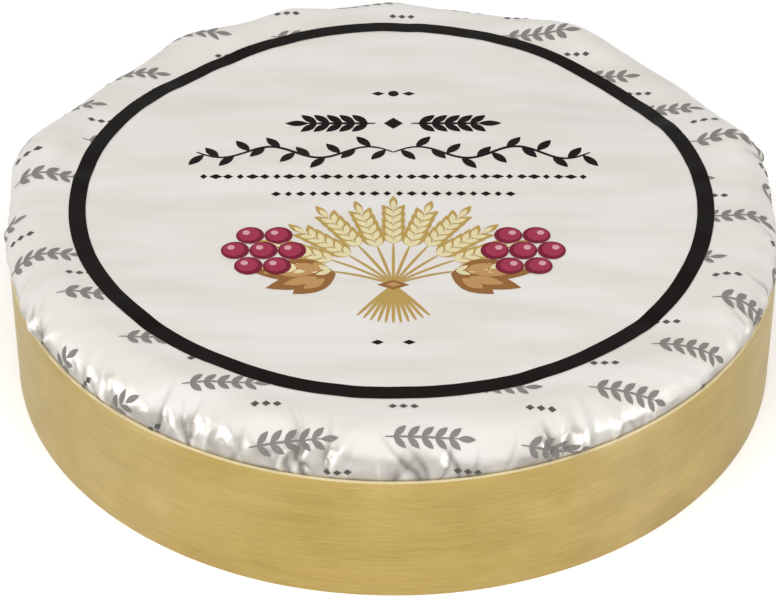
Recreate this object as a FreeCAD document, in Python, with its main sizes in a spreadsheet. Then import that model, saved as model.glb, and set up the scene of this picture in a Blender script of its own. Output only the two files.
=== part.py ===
import FreeCAD, Part
import Sketcher
import math
import os

# A small soft-ripened cheese wheel, shut in a paper wrapper and held by a thin wooden band.
# Millimetres. Z points up and the origin is the centre of the base. The wheel and its band
# both stand on z = 0. Angles are measured from +X towards +Y, so the lap of the band is at
# the back, at +Y, and 270 degrees is the front.

OUTPUT_FOLDER = "parts"

SIZES = {
    # the wrapped wheel
    "crown_rise": 7.4,          # how far the top of the wheel stands above the band
    "shoulder_radius": 5.0,     # where the paper is gathered, the shoulder is this tight
    "overhang": 0.6,            # how far the gathered paper stands out past the band
    "foot_radius": 2.5,
    "lip_gap": 0.2,             # from the rim of the band up to where the paper swells out
    # the band
    "band_diameter": 125.0,
    "band_height": 22.4,
    "band_sheet": 0.6,
    "band_clearance": 0.1,
    "lap_length": 16.0,
    "lap_azimuth": 90.0,
    "lap_clearance": 0.5,
    "seam_width": 0.3,
    # the flats between the gathers
    "flat_slope": 37.0,
    # the creases of a gather
    "crease_slope": 45.0,
    "crease_length": 20.0,
    "crease_width": 1.6,
    "crease_depth": 0.7,
    "crease_count": 3,
    "crease_step": 3.4,
    # the folds under the wheel
    "fold_count": 24,
    "fold_width": 1.2,
    "fold_depth": 0.4,
    "fold_inner_radius": 22.0,
}

# A round of the section is drawn as this many straight steps, so that each meets a flat or
# a crease along a clean edge.
FOOT_STEPS = 2
SHOULDER_STEPS = 4

# Each gather of the paper: its azimuth in degrees.
GATHER_AZIMUTHS = (15.0, 60.0, 112.0, 165.0, 207.0, 250.0, 290.0, 332.0)

# The flat after each gather: how far in from the band's outer face its upper edge lies.
FLAT_INSETS = (5.2, 5.1, 4.7, 4.4, 4.6, 4.3, 4.6, 4.6)


def make_sheet(doc, sizes):
    """Writes each named size into a cell of its own, under an alias of the same name."""
    sheet = doc.addObject("Spreadsheet::Sheet", "Sizes")
    for row, (name, value) in enumerate(sizes.items(), start=1):
        sheet.set("A%d" % row, name)
        sheet.set("B%d" % row, repr(value))
        sheet.setAlias("B%d" % row, name)
    doc.recompute()
    return sheet


def all_sizes():
    """The sizes above, with one azimuth for each gather and each flat between two gathers."""
    sizes = dict(SIZES)
    count = len(GATHER_AZIMUTHS)
    for index, azimuth in enumerate(GATHER_AZIMUTHS):
        following = GATHER_AZIMUTHS[(index + 1) % count]
        step = (following - azimuth) % 360.0
        sizes["gather_azimuth_%d" % (index + 1)] = azimuth
        sizes["flat_azimuth_%d" % (index + 1)] = (azimuth + step / 2.0) % 360.0
        sizes["flat_inset_%d" % (index + 1)] = FLAT_INSETS[index]
    return sizes


# Sizes that follow from the sheet, as expressions.
BAND_OUTER = "(Sizes.band_diameter / 2)"
BAND_INNER = "(%s - Sizes.band_sheet)" % BAND_OUTER
WHEEL_SIDE = "(%s - Sizes.band_clearance)" % BAND_INNER
LIP_LEVEL = "(Sizes.band_height + Sizes.lip_gap)"
TOP_LEVEL = "(Sizes.band_height + Sizes.crown_rise)"
SWELL = "(%s + Sizes.overhang)" % BAND_OUTER
SHOULDER_LEVEL = "(%s - Sizes.shoulder_radius)" % TOP_LEVEL


def make_body(doc, label):
    body = doc.addObject("PartDesign::Body", label)
    body.Label = label
    return body


def origin_feature(body, role):
    for feature in body.Origin.OriginFeatures:
        if feature.Role == role:
            return feature
    raise ValueError("no origin feature with the role %s" % role)


def make_sketch(body, name, plane, offset=None):
    """A sketch on one of the body's own origin planes, moved by an offset expression."""
    sketch = body.newObject("Sketcher::SketchObject", name)
    sketch.AttachmentSupport = [(origin_feature(body, plane), "")]
    sketch.MapMode = "FlatFace"
    if offset:
        sketch.setExpression("AttachmentOffset", offset)
    return sketch


def dimension(sketch, name, kind, picks, expression):
    """A named driving constraint, bound to an expression on the sheet."""
    value = sketch.evalExpression(expression)
    value = getattr(value, "Value", value)
    index = sketch.addConstraint(Sketcher.Constraint(kind, *picks, float(value)))
    sketch.renameConstraint(index, name)
    sketch.setExpression("Constraints.%s" % name, expression)


START, END, CENTRE = 1, 2, 3
ORIGIN = (-1, 1)


def close_corners(sketch, edges):
    """Joins the end of each edge to the start of the next, and the last to the first."""
    for index, edge in enumerate(edges):
        following = edges[(index + 1) % len(edges)]
        sketch.addConstraint(Sketcher.Constraint("Coincident", edge, END, following, START))


def add_lines(sketch, corners):
    """A closed run of straight edges through the corners."""
    edges = []
    for index, corner in enumerate(corners):
        following = corners[(index + 1) % len(corners)]
        line = Part.LineSegment(FreeCAD.Vector(*corner, 0), FreeCAD.Vector(*following, 0))
        edges.append(sketch.addGeometry(line, False))
    close_corners(sketch, edges)
    return edges


def dimension_corner(sketch, name, edge, across, up):
    """Places the start of an edge. A place that is None lies on that axis of the sketch."""
    if across is None:
        sketch.addConstraint(Sketcher.Constraint("PointOnObject", edge, START, -2))
    else:
        dimension(sketch, name + "_across", "DistanceX", (*ORIGIN, edge, START), across)
    if up is None:
        sketch.addConstraint(Sketcher.Constraint("PointOnObject", edge, START, -1))
    else:
        dimension(sketch, name + "_up", "DistanceY", (*ORIGIN, edge, START), up)


def placed(sketch, across, up):
    """The value of two expressions, as a corner for a first drawing of a sketch."""
    values = [sketch.evalExpression(expression) for expression in (across, up)]
    return tuple(float(getattr(value, "Value", value)) for value in values)


def rounded_corner(centre_across, centre_up, radius, first, last, steps):
    """Corners along a quarter round, drawn as steps of equal turn, as pairs of expressions."""
    corners = []
    for step in range(steps + 1):
        angle = first + (last - first) * step / steps
        across = "(%s + %s * cos(%g deg))" % (centre_across, radius, angle)
        up = "(%s + %s * sin(%g deg))" % (centre_up, radius, angle)
        corners.append((across, up))
    return corners


def profile_sketch(body):
    """Half of the wheel's section: base, foot, side, swollen shoulder and flat top."""
    sketch = make_sketch(body, "WheelProfile", "XZ_Plane")
    foot, shoulder = "Sizes.foot_radius", "Sizes.shoulder_radius"
    foot_across = "(%s - %s)" % (WHEEL_SIDE, foot)
    shoulder_across = "(%s - %s)" % (SWELL, shoulder)
    corners = [(None, None), (foot_across, None)]
    corners += rounded_corner(foot_across, foot, foot, -90, 0, FOOT_STEPS)[1:]
    corners += [(WHEEL_SIDE, LIP_LEVEL)]
    corners += rounded_corner(
        shoulder_across, SHOULDER_LEVEL, shoulder, 0, 90, SHOULDER_STEPS
    )
    corners += [(None, TOP_LEVEL)]
    places = [placed(sketch, across or "0", up or "0") for across, up in corners]
    edges = add_lines(sketch, places)
    for index, (edge, corner) in enumerate(zip(edges, corners)):
        dimension_corner(sketch, "corner_%d" % index, edge, *corner)
    return sketch


def rectangle_sketch(body, name, plane, offset, low, high):
    """A rectangle between two corners, each given as two expressions."""
    sketch = make_sketch(body, name, plane, offset)
    left, bottom = placed(sketch, *low)
    right, top = placed(sketch, *high)
    corners = [(left, bottom), (right, bottom), (right, top), (left, top)]
    edges = add_lines(sketch, corners)
    for edge, kind in zip(edges, ("Horizontal", "Vertical", "Horizontal", "Vertical")):
        sketch.addConstraint(Sketcher.Constraint(kind, edge))
    dimension_corner(sketch, "low", edges[0], *low)
    dimension_corner(sketch, "high", edges[2], *high)
    return sketch


def notch_sketch(body, name, offset, width, depth, rise):
    """An upright V: its point lies below the sketch's origin, its mouth at a height of rise."""
    sketch = make_sketch(body, name, "XY_Plane", offset)
    half_mouth = "%s / 2 * (%s + %s) / %s" % (width, depth, rise, depth)
    half, point = placed(sketch, half_mouth, "-" + depth)
    mouth = placed(sketch, rise, rise)[0]
    edges = add_lines(sketch, [(0, point), (half, mouth), (-half, mouth)])
    dimension_corner(sketch, "point", edges[0], None, "-" + depth)
    dimension_corner(sketch, "right", edges[1], half_mouth, rise)
    sketch.addConstraint(Sketcher.Constraint("Symmetric", edges[1], START, edges[2], START, -2))
    return sketch


def pocket(body, name, sketch, length, symmetric=False, reverse=False):
    """Cuts a sketch into the body, and fails if the cut meets no material."""
    faces_before = len(body.Shape.Faces)
    cut = body.newObject("PartDesign::Pocket", name)
    cut.Profile = sketch
    cut.Type = "Length"
    cut.setExpression("Length", length)
    if symmetric:
        cut.SideType = "Symmetric"
    cut.Reversed = reverse
    body.Document.recompute()
    if not len(body.Shape.Faces) > faces_before:
        raise ValueError("the cut %s removes nothing" % name)
    return cut


def polar_pattern(body, name, feature, count, mode, angle):
    """Repeats a feature about the upright axis, over a whole turn or by a fixed step."""
    pattern = body.newObject("PartDesign::PolarPattern", name)
    pattern.Originals = [feature]
    pattern.Axis = (origin_feature(body, "Z_Axis"), [""])
    pattern.Mode = mode
    pattern.setExpression("Occurrences", count)
    pattern.setExpression("Offset" if mode == "Spacing" else "Angle", angle)
    body.Tip = pattern
    body.Document.recompute()
    return pattern


def radial_offset(azimuth, radius, level, turn):
    """The placement of a sketch plane at an azimuth, a radius and a level, then turned."""
    return "placement(vector(%s * cos(%s); %s * sin(%s); %s); rotationz(%s) * %s)" % (
        radius, azimuth, radius, azimuth, level, azimuth, turn
    )


def cut_flat(body, number):
    """Pulls the paper in between two gathers: a slope that faces outwards and up."""
    azimuth = "Sizes.flat_azimuth_%d * 1 deg" % number
    radius = "(%s - Sizes.flat_inset_%d)" % (BAND_OUTER, number)
    turn = "rotationy(Sizes.flat_slope * 1 deg)"
    offset = radial_offset(azimuth, radius, TOP_LEVEL, turn)
    low = ("-Sizes.flat_inset_%d" % number, "-" + BAND_OUTER)
    high = (TOP_LEVEL, BAND_OUTER)
    sketch = rectangle_sketch(body, "FlatSketch%d" % number, "XY_Plane", offset, low, high)
    pocket(body, "Flat%d" % number, sketch, TOP_LEVEL, reverse=True)


def crease_gather(body, number):
    """A fan of V creases that run down the shoulder where the paper is gathered."""
    first = "(Sizes.gather_azimuth_%d - Sizes.crease_step * (Sizes.crease_count - 1) / 2)"
    azimuth = first % number + " * 1 deg"
    slope = "(Sizes.crease_slope * 1 deg)"
    radius = "(%s - Sizes.shoulder_radius * (1 - sin(%s)))" % (SWELL, slope)
    level = "(%s + Sizes.shoulder_radius * cos(%s))" % (SHOULDER_LEVEL, slope)
    turn = "rotationy(%s) * rotationz(90 deg) * rotationx(90 deg)" % slope
    offset = radial_offset(azimuth, radius, level, turn)
    name = "CreaseSketch%d" % number
    sketch = notch_sketch(
        body, name, offset, "Sizes.crease_width", "Sizes.crease_depth", "Sizes.overhang"
    )
    cut = pocket(body, "Crease%d" % number, sketch, "Sizes.crease_length", symmetric=True)
    polar_pattern(
        body, "Creases%d" % number, cut, "Sizes.crease_count", "Spacing",
        "Sizes.crease_step * 1 deg"
    )


def fold_underside(body):
    """The paper is pleated under the wheel: V folds that run from the foot inwards."""
    length = "(%s - Sizes.fold_inner_radius)" % WHEEL_SIDE
    radius = "(%s + %s) / 2" % (WHEEL_SIDE, "Sizes.fold_inner_radius")
    turn = "rotationz(90 deg) * rotationx(90 deg) * rotationz(180 deg)"
    offset = radial_offset("0 deg", radius, "0", turn)
    sketch = notch_sketch(
        body, "FoldSketch", offset, "Sizes.fold_width", "Sizes.fold_depth", "Sizes.fold_depth"
    )
    fold = pocket(body, "Fold", sketch, length, symmetric=True)
    polar_pattern(body, "Folds", fold, "Sizes.fold_count", "Extent", "360 deg")


def half_angle(length, extra="0"):
    """Half of the angle that a length takes along the band's outer face."""
    return "((%s + 2 * %s) / %s / 2 * 180 / pi)" % (length, extra, BAND_OUTER)


def sector_sketch(body, name, inner, outer, half):
    """A piece of a ring about the origin, centred on the lap of the band."""
    offset = "placement(vector(0; 0; 0); rotationz(Sizes.lap_azimuth * 1 deg))"
    sketch = make_sketch(body, name, "XY_Plane", offset)
    low, high = placed(sketch, inner, outer)
    turn = math.radians(placed(sketch, half, half)[0])
    z_axis = FreeCAD.Vector(0, 0, 1)
    centre = FreeCAD.Vector(0, 0, 0)

    def at(radius, angle):
        return FreeCAD.Vector(radius * math.cos(angle), radius * math.sin(angle), 0)

    outer_circle = Part.Circle(centre, z_axis, high)
    outer_arc = sketch.addGeometry(Part.ArcOfCircle(outer_circle, -turn, turn), False)
    inner_circle = Part.Circle(centre, z_axis, low)
    inner_arc = sketch.addGeometry(Part.ArcOfCircle(inner_circle, -turn, turn), False)
    upper = sketch.addGeometry(Part.LineSegment(at(high, turn), at(low, turn)), False)
    lower = sketch.addGeometry(Part.LineSegment(at(low, -turn), at(high, -turn)), False)
    joints = (
        (outer_arc, END, upper, START), (upper, END, inner_arc, END),
        (inner_arc, START, lower, START), (lower, END, outer_arc, START),
    )
    for joint in joints:
        sketch.addConstraint(Sketcher.Constraint("Coincident", *joint))
    for arc in (outer_arc, inner_arc):
        sketch.addConstraint(Sketcher.Constraint("Coincident", arc, CENTRE, *ORIGIN))
    sketch.addConstraint(Sketcher.Constraint("PointOnObject", -1, 1, upper))
    sketch.addConstraint(Sketcher.Constraint("PointOnObject", -1, 1, lower))
    dimension(sketch, "outer_radius", "Radius", (outer_arc,), outer)
    dimension(sketch, "inner_radius", "Radius", (inner_arc,), inner)
    half_width = "%s * sin(%s * 1 deg)" % (outer, half)
    dimension(sketch, "upper_half", "DistanceY", (*ORIGIN, upper, START), half_width)
    dimension(sketch, "lower_half", "DistanceY", (lower, END, *ORIGIN), half_width)
    return sketch


def make_wheel(doc):
    """The cheese in its wrapper, shut, so one solid."""
    body = make_body(doc, "wrapped_wheel")
    turned = body.newObject("PartDesign::Revolution", "Turned")
    turned.Profile = profile_sketch(body)
    turned.ReferenceAxis = (origin_feature(body, "Z_Axis"), [""])
    turned.Angle = 360.0
    doc.recompute()

    for number in range(1, len(GATHER_AZIMUTHS) + 1):
        cut_flat(body, number)
    for number in range(1, len(GATHER_AZIMUTHS) + 1):
        crease_gather(body, number)
    fold_underside(body)

    # the side is drawn in where the inner end of the band laps
    recess = sector_sketch(
        body, "RecessSketch", "(%s - Sizes.band_sheet)" % WHEEL_SIDE, BAND_OUTER,
        half_angle("Sizes.lap_length", "Sizes.lap_clearance")
    )
    pocket(body, "LapRecess", recess, LIP_LEVEL, reverse=True)
    return body


def make_band(doc):
    """A strip of thin wood bent into a ring, with its inner end lapped at the back."""
    body = make_body(doc, "band")
    sketch = make_sketch(body, "RingSketch", "XY_Plane")
    outer, inner = placed(sketch, BAND_OUTER, BAND_INNER)
    for name, radius, expression in (("outer", outer, BAND_OUTER), ("inner", inner, BAND_INNER)):
        circle = Part.Circle(FreeCAD.Vector(0, 0, 0), FreeCAD.Vector(0, 0, 1), radius)
        edge = sketch.addGeometry(circle, False)
        sketch.addConstraint(Sketcher.Constraint("Coincident", edge, CENTRE, *ORIGIN))
        dimension(sketch, name, "Radius", (edge,), expression)
    ring = body.newObject("PartDesign::Pad", "Ring")
    ring.Profile = sketch
    ring.setExpression("Length", "Sizes.band_height")
    doc.recompute()

    lap = body.newObject("PartDesign::Pad", "Lap")
    lap.Profile = sector_sketch(
        body, "LapSketch", "(%s - Sizes.band_sheet)" % BAND_INNER, BAND_INNER,
        half_angle("Sizes.lap_length")
    )
    lap.setExpression("Length", "Sizes.band_height")
    doc.recompute()

    # the outer end of the strip stops short of the run that comes out from under it
    seam = sector_sketch(
        body, "SeamSketch", BAND_INNER, BAND_OUTER, half_angle("Sizes.seam_width")
    )
    pocket(body, "Seam", seam, "Sizes.band_height", reverse=True)
    return body


def check_document(doc, bodies):
    """Stops before anything is written if an object failed or a sub-part isn't sound."""
    for item in doc.Objects:
        if {"Invalid", "Error"} & set(item.State):
            raise RuntimeError("%s could not be worked out" % item.Label)
    for body in bodies:
        shape = body.Shape
        if shape.isNull() or not shape.isValid() or len(shape.Solids) != 1:
            raise RuntimeError("%s isn't one sound solid" % body.Label)


def main():
    doc = FreeCAD.newDocument("cheese_wheel")
    make_sheet(doc, all_sizes())
    bodies = [make_wheel(doc), make_band(doc)]
    doc.recompute()
    check_document(doc, bodies)
    os.makedirs(OUTPUT_FOLDER, exist_ok=True)
    for body in bodies:
        body.Shape.exportStep(os.path.join(OUTPUT_FOLDER, body.Label + ".step"))
        box = body.Shape.optimalBoundingBox()
        print("%s: volume %.1f, x %.2f..%.2f, y %.2f..%.2f, z %.2f..%.2f" % (
            body.Label, body.Shape.Volume, box.XMin, box.XMax,
            box.YMin, box.YMax, box.ZMin, box.ZMax
        ))


main()
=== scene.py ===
import math

import bpy
import numpy as np
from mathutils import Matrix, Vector


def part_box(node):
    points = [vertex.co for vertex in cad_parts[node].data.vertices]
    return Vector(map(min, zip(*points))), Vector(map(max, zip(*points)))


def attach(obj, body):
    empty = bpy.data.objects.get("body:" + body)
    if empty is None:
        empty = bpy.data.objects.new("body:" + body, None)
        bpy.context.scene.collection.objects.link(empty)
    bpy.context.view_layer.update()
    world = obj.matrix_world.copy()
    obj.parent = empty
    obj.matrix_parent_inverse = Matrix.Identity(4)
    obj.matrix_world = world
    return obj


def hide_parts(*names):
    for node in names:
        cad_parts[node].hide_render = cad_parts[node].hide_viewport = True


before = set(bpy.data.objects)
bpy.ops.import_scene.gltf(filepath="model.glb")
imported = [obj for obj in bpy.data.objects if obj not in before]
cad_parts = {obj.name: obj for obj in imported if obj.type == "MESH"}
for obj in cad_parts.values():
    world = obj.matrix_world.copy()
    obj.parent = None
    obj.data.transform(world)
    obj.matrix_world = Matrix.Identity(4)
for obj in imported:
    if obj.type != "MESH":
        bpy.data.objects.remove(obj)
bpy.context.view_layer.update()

bl_info = {
    "name": "Wrapped Cheese Wheel",
    "version": (1, 0, 0),
    "blender": (4, 5, 0),
    "location": "3D View > Sidebar > Cheese",
    "description": "A small cheese wheel in a gathered paper wrapper, held by a veneer band",
    "category": "Object",
}

# Shapes are worked out in millimetres and written to the meshes in metres.
MM = 0.001
BODY = "root"

BAND_LOW, BAND_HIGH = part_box("band")
WHEEL_LOW, WHEEL_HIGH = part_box("wrapped_wheel")
BAND_RADIUS = (BAND_HIGH[0] - BAND_LOW[0]) / 2 / MM
BAND_HEIGHT = (BAND_HIGH[2] - BAND_LOW[2]) / MM
TOP_HEIGHT = (WHEEL_HIGH[2] - WHEEL_LOW[2]) / MM

# Where the paper is gathered over the shoulder: azimuth and spread in degrees, and how far
# it stands out in millimetres.
GATHERS = (
    (16, 8.0, 2.1), (38, 12.0, 0.5), (58, 9.0, 2.2), (90, 6.0, 0.9), (108, 6.0, 1.4),
    (126, 9.0, 2.1), (144, 6.0, 0.5), (166, 10.0, 3.0), (188, 8.0, 0.9), (207, 8.0, 1.1),
    (230, 6.0, 0.6), (250, 6.0, 1.0), (268, 6.0, 0.3), (292, 6.0, 0.9), (312, 6.0, 0.4),
    (334, 8.0, 1.3), (350, 6.0, 0.8),
)

# How far the paper lies above or below the flat top near its edge, likewise.
LEVELS = (
    (40, 17.0, -1.8), (95, 10.0, 0.3), (133, 17.0, -1.2), (215, 18.0, 0.8),
    (238, 12.0, 0.5), (292, 12.0, -0.4), (322, 14.0, -0.8),
)

# The bunches of sharp pleats that run down the shoulder, likewise with their strength.
BUNCHES = (
    (14, 8.0, 0.6), (60, 7.0, 0.35), (108, 7.0, 0.45), (126, 6.0, 0.4), (165, 7.0, 0.35),
    (184, 7.0, 0.35), (207, 7.0, 0.6), (226, 7.0, 0.65), (243, 6.0, 0.9), (257, 5.0, 1.2),
    (274, 5.0, 0.6), (293, 5.0, 1.2), (306, 6.0, 0.4), (336, 8.0, 0.7), (352, 7.0, 0.7),
)

# Where a broader strip of foil shows above the band, likewise with its breadth.
BARE_STRIPS = ((224, 20.0, 1.5), (262, 20.0, 2.2), (294, 7.0, 1.0), (16, 12.0, 1.0))


def linear(text):
    """An sRGB hex colour as linear red, green, blue and alpha."""
    channels = [int(text[place:place + 2], 16) / 255 for place in (1, 3, 5)]
    below = [channel / 12.92 for channel in channels]
    above = [((channel + 0.055) / 1.055) ** 2.4 for channel in channels]
    bent = [low if low < 0.04045 / 12.92 else high for low, high in zip(below, above)]
    return (*bent, 1.0)


# ---------------------------------------------------------------- the settings

COLOUR = {"subtype": "COLOR", "size": 4, "min": 0.0, "max": 1.0}


class PaperSettings(bpy.types.PropertyGroup):
    """Sizes and colours of the paper wrapper."""

    shoulder: bpy.props.FloatProperty(
        name="Shoulder", description="Radius of the shoulder between two gathers",
        default=6.6 * MM, min=MM, unit="LENGTH",
    )
    folds: bpy.props.IntProperty(
        name="Folds", description="Number of folds that close the paper underneath",
        default=26, min=8, max=60,
    )
    paper: bpy.props.FloatVectorProperty(
        name="Paper", description="Colour of the coated paper",
        default=linear("#efebe6"), **COLOUR,
    )
    # painted shade: the warm streaks stand in for the shade that the top's shallow waves throw
    shade: bpy.props.FloatVectorProperty(
        name="Shade", description="Colour of the paper in its faint warm streaks",
        default=linear("#e7e1d8"), **COLOUR,
    )
    foil: bpy.props.FloatVectorProperty(
        name="Foil", description="Colour of the foil where it shows through the lacquer",
        default=linear("#a5a099"), **COLOUR,
    )
    # painted shade: the colour painted into the hollows of the creases
    painted_hollow_shade: bpy.props.FloatVectorProperty(
        name="Hollows", description="Colour of the paper in the hollows of its creases",
        default=linear("#55504a"), **COLOUR,
    )


class BandSettings(bpy.types.PropertyGroup):
    """Sizes and colours of the veneer band."""

    sheet: bpy.props.FloatProperty(
        name="Sheet", description="Thickness of the veneer",
        default=0.58 * MM, min=0.1 * MM, unit="LENGTH",
    )
    lap: bpy.props.FloatProperty(
        name="Lap", description="Length over which the two ends lie on each other",
        default=16.0 * MM, min=2 * MM, unit="LENGTH",
    )
    pale: bpy.props.FloatVectorProperty(
        name="Pale grain", description="Colour of the pale streaks of the wood",
        default=linear("#ceb268"), **COLOUR,
    )
    # partly painted highlight: the top cut edge is bare, paler wood, and this colour also stands
    # in for the glint along it
    edge: bpy.props.FloatVectorProperty(
        name="Cut edge", description="Colour of the bare wood on the cut edges",
        default=linear("#e8d8ad"), **COLOUR,
    )
    dark: bpy.props.FloatVectorProperty(
        name="Dark grain", description="Colour of the dark streaks of the wood",
        default=linear("#b6994c"), **COLOUR,
    )


class PrintSettings(bpy.types.PropertyGroup):
    """Sizes and colours of what is printed on the paper."""

    ring_radius: bpy.props.FloatProperty(
        name="Ring radius", description="Outer radius of the printed ring",
        default=52.1 * MM, min=MM, unit="LENGTH",
    )
    ring_width: bpy.props.FloatProperty(
        name="Ring width", description="Width of the printed ring",
        default=2.75 * MM, min=0.1 * MM, unit="LENGTH",
    )
    ink: bpy.props.FloatVectorProperty(
        name="Ink", description="Colour of the dark ink",
        default=linear("#0c0604"), **COLOUR,
    )
    grey: bpy.props.FloatVectorProperty(
        name="Grey ink", description="Colour of the repeated border print",
        default=linear("#8d8a85"), **COLOUR,
    )
    dark_grey: bpy.props.FloatVectorProperty(
        name="Dark grey ink", description="Colour of the small marks of the border print",
        default=linear("#5f5b57"), **COLOUR,
    )


# ---------------------------------------------------------------- noise and steps

def smooth_step(value, low, high):
    """0 below low, 1 above high, and a soft slope between them."""
    share = np.clip((value - low) / (high - low), 0.0, 1.0)
    return share * share * (3 - 2 * share)


def scatter(column, row, seed):
    """A number between 0 and 1 that is always the same for the same place."""
    value = np.sin(column * 127.1 + row * 311.7 + seed * 74.7) * 43758.5453
    return value - np.floor(value)


def soft_noise(across, up, seed):
    """Soft waves between -1 and 1, about one unit apart."""
    column, row = np.floor(across), np.floor(up)
    u, v = across - column, up - row
    u = u * u * u * (u * (u * 6 - 15) + 10)
    v = v * v * v * (v * (v * 6 - 15) + 10)
    near = scatter(column, row, seed) * (1 - u) + scatter(column + 1, row, seed) * u
    far = scatter(column, row + 1, seed) * (1 - u) + scatter(column + 1, row + 1, seed) * u
    return 2 * (near * (1 - v) + far * v) - 1


def facets(across, up, seed):
    """Crumpled sheet: how far it is to the nearest of points strewn one unit apart."""
    column, row = np.floor(across), np.floor(up)
    nearest = np.full(across.shape, 9.0)
    for side in (-1, 0, 1):
        for rise in (-1, 0, 1):
            x = column + side + scatter(column + side, row + rise, seed)
            y = row + rise + scatter(column + side, row + rise, seed + 1)
            nearest = np.minimum(nearest, np.hypot(across - x, up - y))
    return nearest


def turn_between(first, second):
    """The signed turn from the second azimuth to the first, in degrees."""
    return (first - second + 180.0) % 360.0 - 180.0


def seam_free(degrees):
    """0 at the azimuth where the sheet's two ends meet, and 1 away from it."""
    return smooth_step(degrees, 0, 8) * (1 - smooth_step(degrees, 352, 360))


def bumps(degrees, table, sharpness=2.0):
    """The sum of a table's bumps round the wheel."""
    total = np.zeros(degrees.shape)
    for azimuth, spread, size in table:
        total += size * np.exp(-np.abs(turn_between(degrees, azimuth) / spread) ** sharpness)
    return total


# ---------------------------------------------------------------- the paper's surface

COLUMNS = 1080           # steps of the paper's mesh round the wheel
CREEP = 1.4              # height over which the paper goes in behind the rim of the band
FOOT = 2.4               # radius of the bend from the side to the base
RIM_PLAY = 0.3           # from the band's outer face to the paper above its rim
SIDE_PLAY = 0.85         # from the band's outer face to the paper behind it
UNDER_REACH = 6.0        # radius under the wheel inside which the folds have died out
LAP_AZIMUTH = 90.0       # where the band's two ends lie on each other
LAP_PRESS = 0.75         # how far the lap presses the paper in
BUNCH_PLEATS = 7         # sharp pleats in a bunch
STRAY_PITCH = 9.0        # degrees between the faint pleats all round
LINE_REACH = 0.6         # degrees from a pleat's middle to where its painted highlight and shade have faded


class Section:
    """The wheel's section, along the paper from the middle of the top to that of the base."""

    def __init__(self, paper):
        self.shoulder = paper.shoulder / MM
        self.swell = BAND_RADIUS - RIM_PLAY
        self.side = BAND_RADIUS - SIDE_PLAY
        self.top = TOP_HEIGHT
        lengths = (
            self.swell - self.shoulder,
            self.shoulder * math.pi / 2,
            math.hypot(self.swell - self.side, CREEP),
            self.top - self.shoulder - CREEP - FOOT,
            FOOT * math.pi / 2,
            self.side - FOOT,
        )
        self.ends = np.cumsum(lengths)

    def rings(self):
        """The places along the section where the mesh has a ring of vertices."""
        flat, bend, creep, wall, foot, middle = self.ends
        spans = (
            (0.0, 1.2, 2), (1.2, 44.0, 20), (44.0, flat, 14), (flat, bend, 26),
            (bend, creep, 3), (creep, wall, 2), (wall, foot, 4), (foot, middle - 1.0, 18),
            (middle - 1.0, middle, 1),
        )
        places = [np.linspace(low, high, steps, endpoint=False) for low, high, steps in spans]
        return np.concatenate(places + [[middle]])

    def at(self, reach):
        """Radius, height and outward normal at a distance along the paper."""
        flat, bend, creep, wall, foot, middle = self.ends
        over = np.clip((reach - flat) / self.shoulder, 0, math.pi / 2)
        drawn = np.clip((reach - bend) / (creep - bend), 0, 1)
        down = np.clip(reach - creep, 0, wall - creep)
        under = np.clip((reach - wall) / FOOT, 0, math.pi / 2)
        inwards = np.clip(reach - foot, 0, middle - foot)
        radius = np.minimum(reach, flat) + self.shoulder * np.sin(over)
        radius = radius - (self.swell - self.side) * drawn
        radius = radius - FOOT * (1 - np.cos(under)) - inwards
        height = self.top - self.shoulder * (1 - np.cos(over)) - CREEP * drawn - down
        height = height - FOOT * np.sin(under)
        tilt = over + under
        return radius, height, np.sin(tilt), np.cos(tilt)


def pleat_list():
    """Every sharp pleat: azimuth, half width, height, where it starts, and its slant."""
    draw = np.random.default_rng(7)
    pleats = []
    for azimuth, spread, strength in BUNCHES:
        for _ in range(BUNCH_PLEATS):
            reach = draw.uniform(0.0, 1.0)
            pleats.append((
                azimuth + draw.normal() * spread * 0.5,
                draw.uniform(0.9, 1.2) + 0.7 * reach,
                strength * (0.25 + 0.5 * reach) * draw.choice((-1.0, 1.0)),
                60.5 - 6.0 * strength * reach,
                draw.normal() * 0.45,
            ))
    for azimuth in np.arange(0.0, 360.0, STRAY_PITCH):
        pleats.append((
            azimuth + draw.uniform(-4, 4), draw.uniform(1.0, 1.8),
            draw.uniform(0.1, 0.25) * draw.choice((-1.0, 1.0)),
            draw.uniform(58.0, 61.5), draw.uniform(-0.5, 0.5),
        ))
    return pleats


def pleat_height(degrees, reach, end):
    """The pleats together, and thin marks from -1 to 1 along their crests and hollows, which carry
    the painted highlight and painted shade of the creases.
    """
    total = np.zeros(degrees.shape)
    crease_shading_marks = np.zeros(degrees.shape)
    drift = 0.7 * soft_noise(degrees / 5.0, reach / 4.0, 61) * seam_free(degrees)
    for azimuth, half, height, start, slant in pleat_list():
        across = turn_between(degrees + drift, azimuth + slant * (end - reach)) / half
        grown = smooth_step(reach, start, end - 1.0)
        total += height * np.clip(1 - np.abs(across), 0, None) * grown
        narrow = np.clip(1 - np.abs(across) * half / LINE_REACH, 0, None)
        crease_shading_marks += np.sign(height) * min(1.0, abs(height) * 2.6) * narrow * grown
    return total, np.clip(crease_shading_marks, -1, 1)


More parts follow.
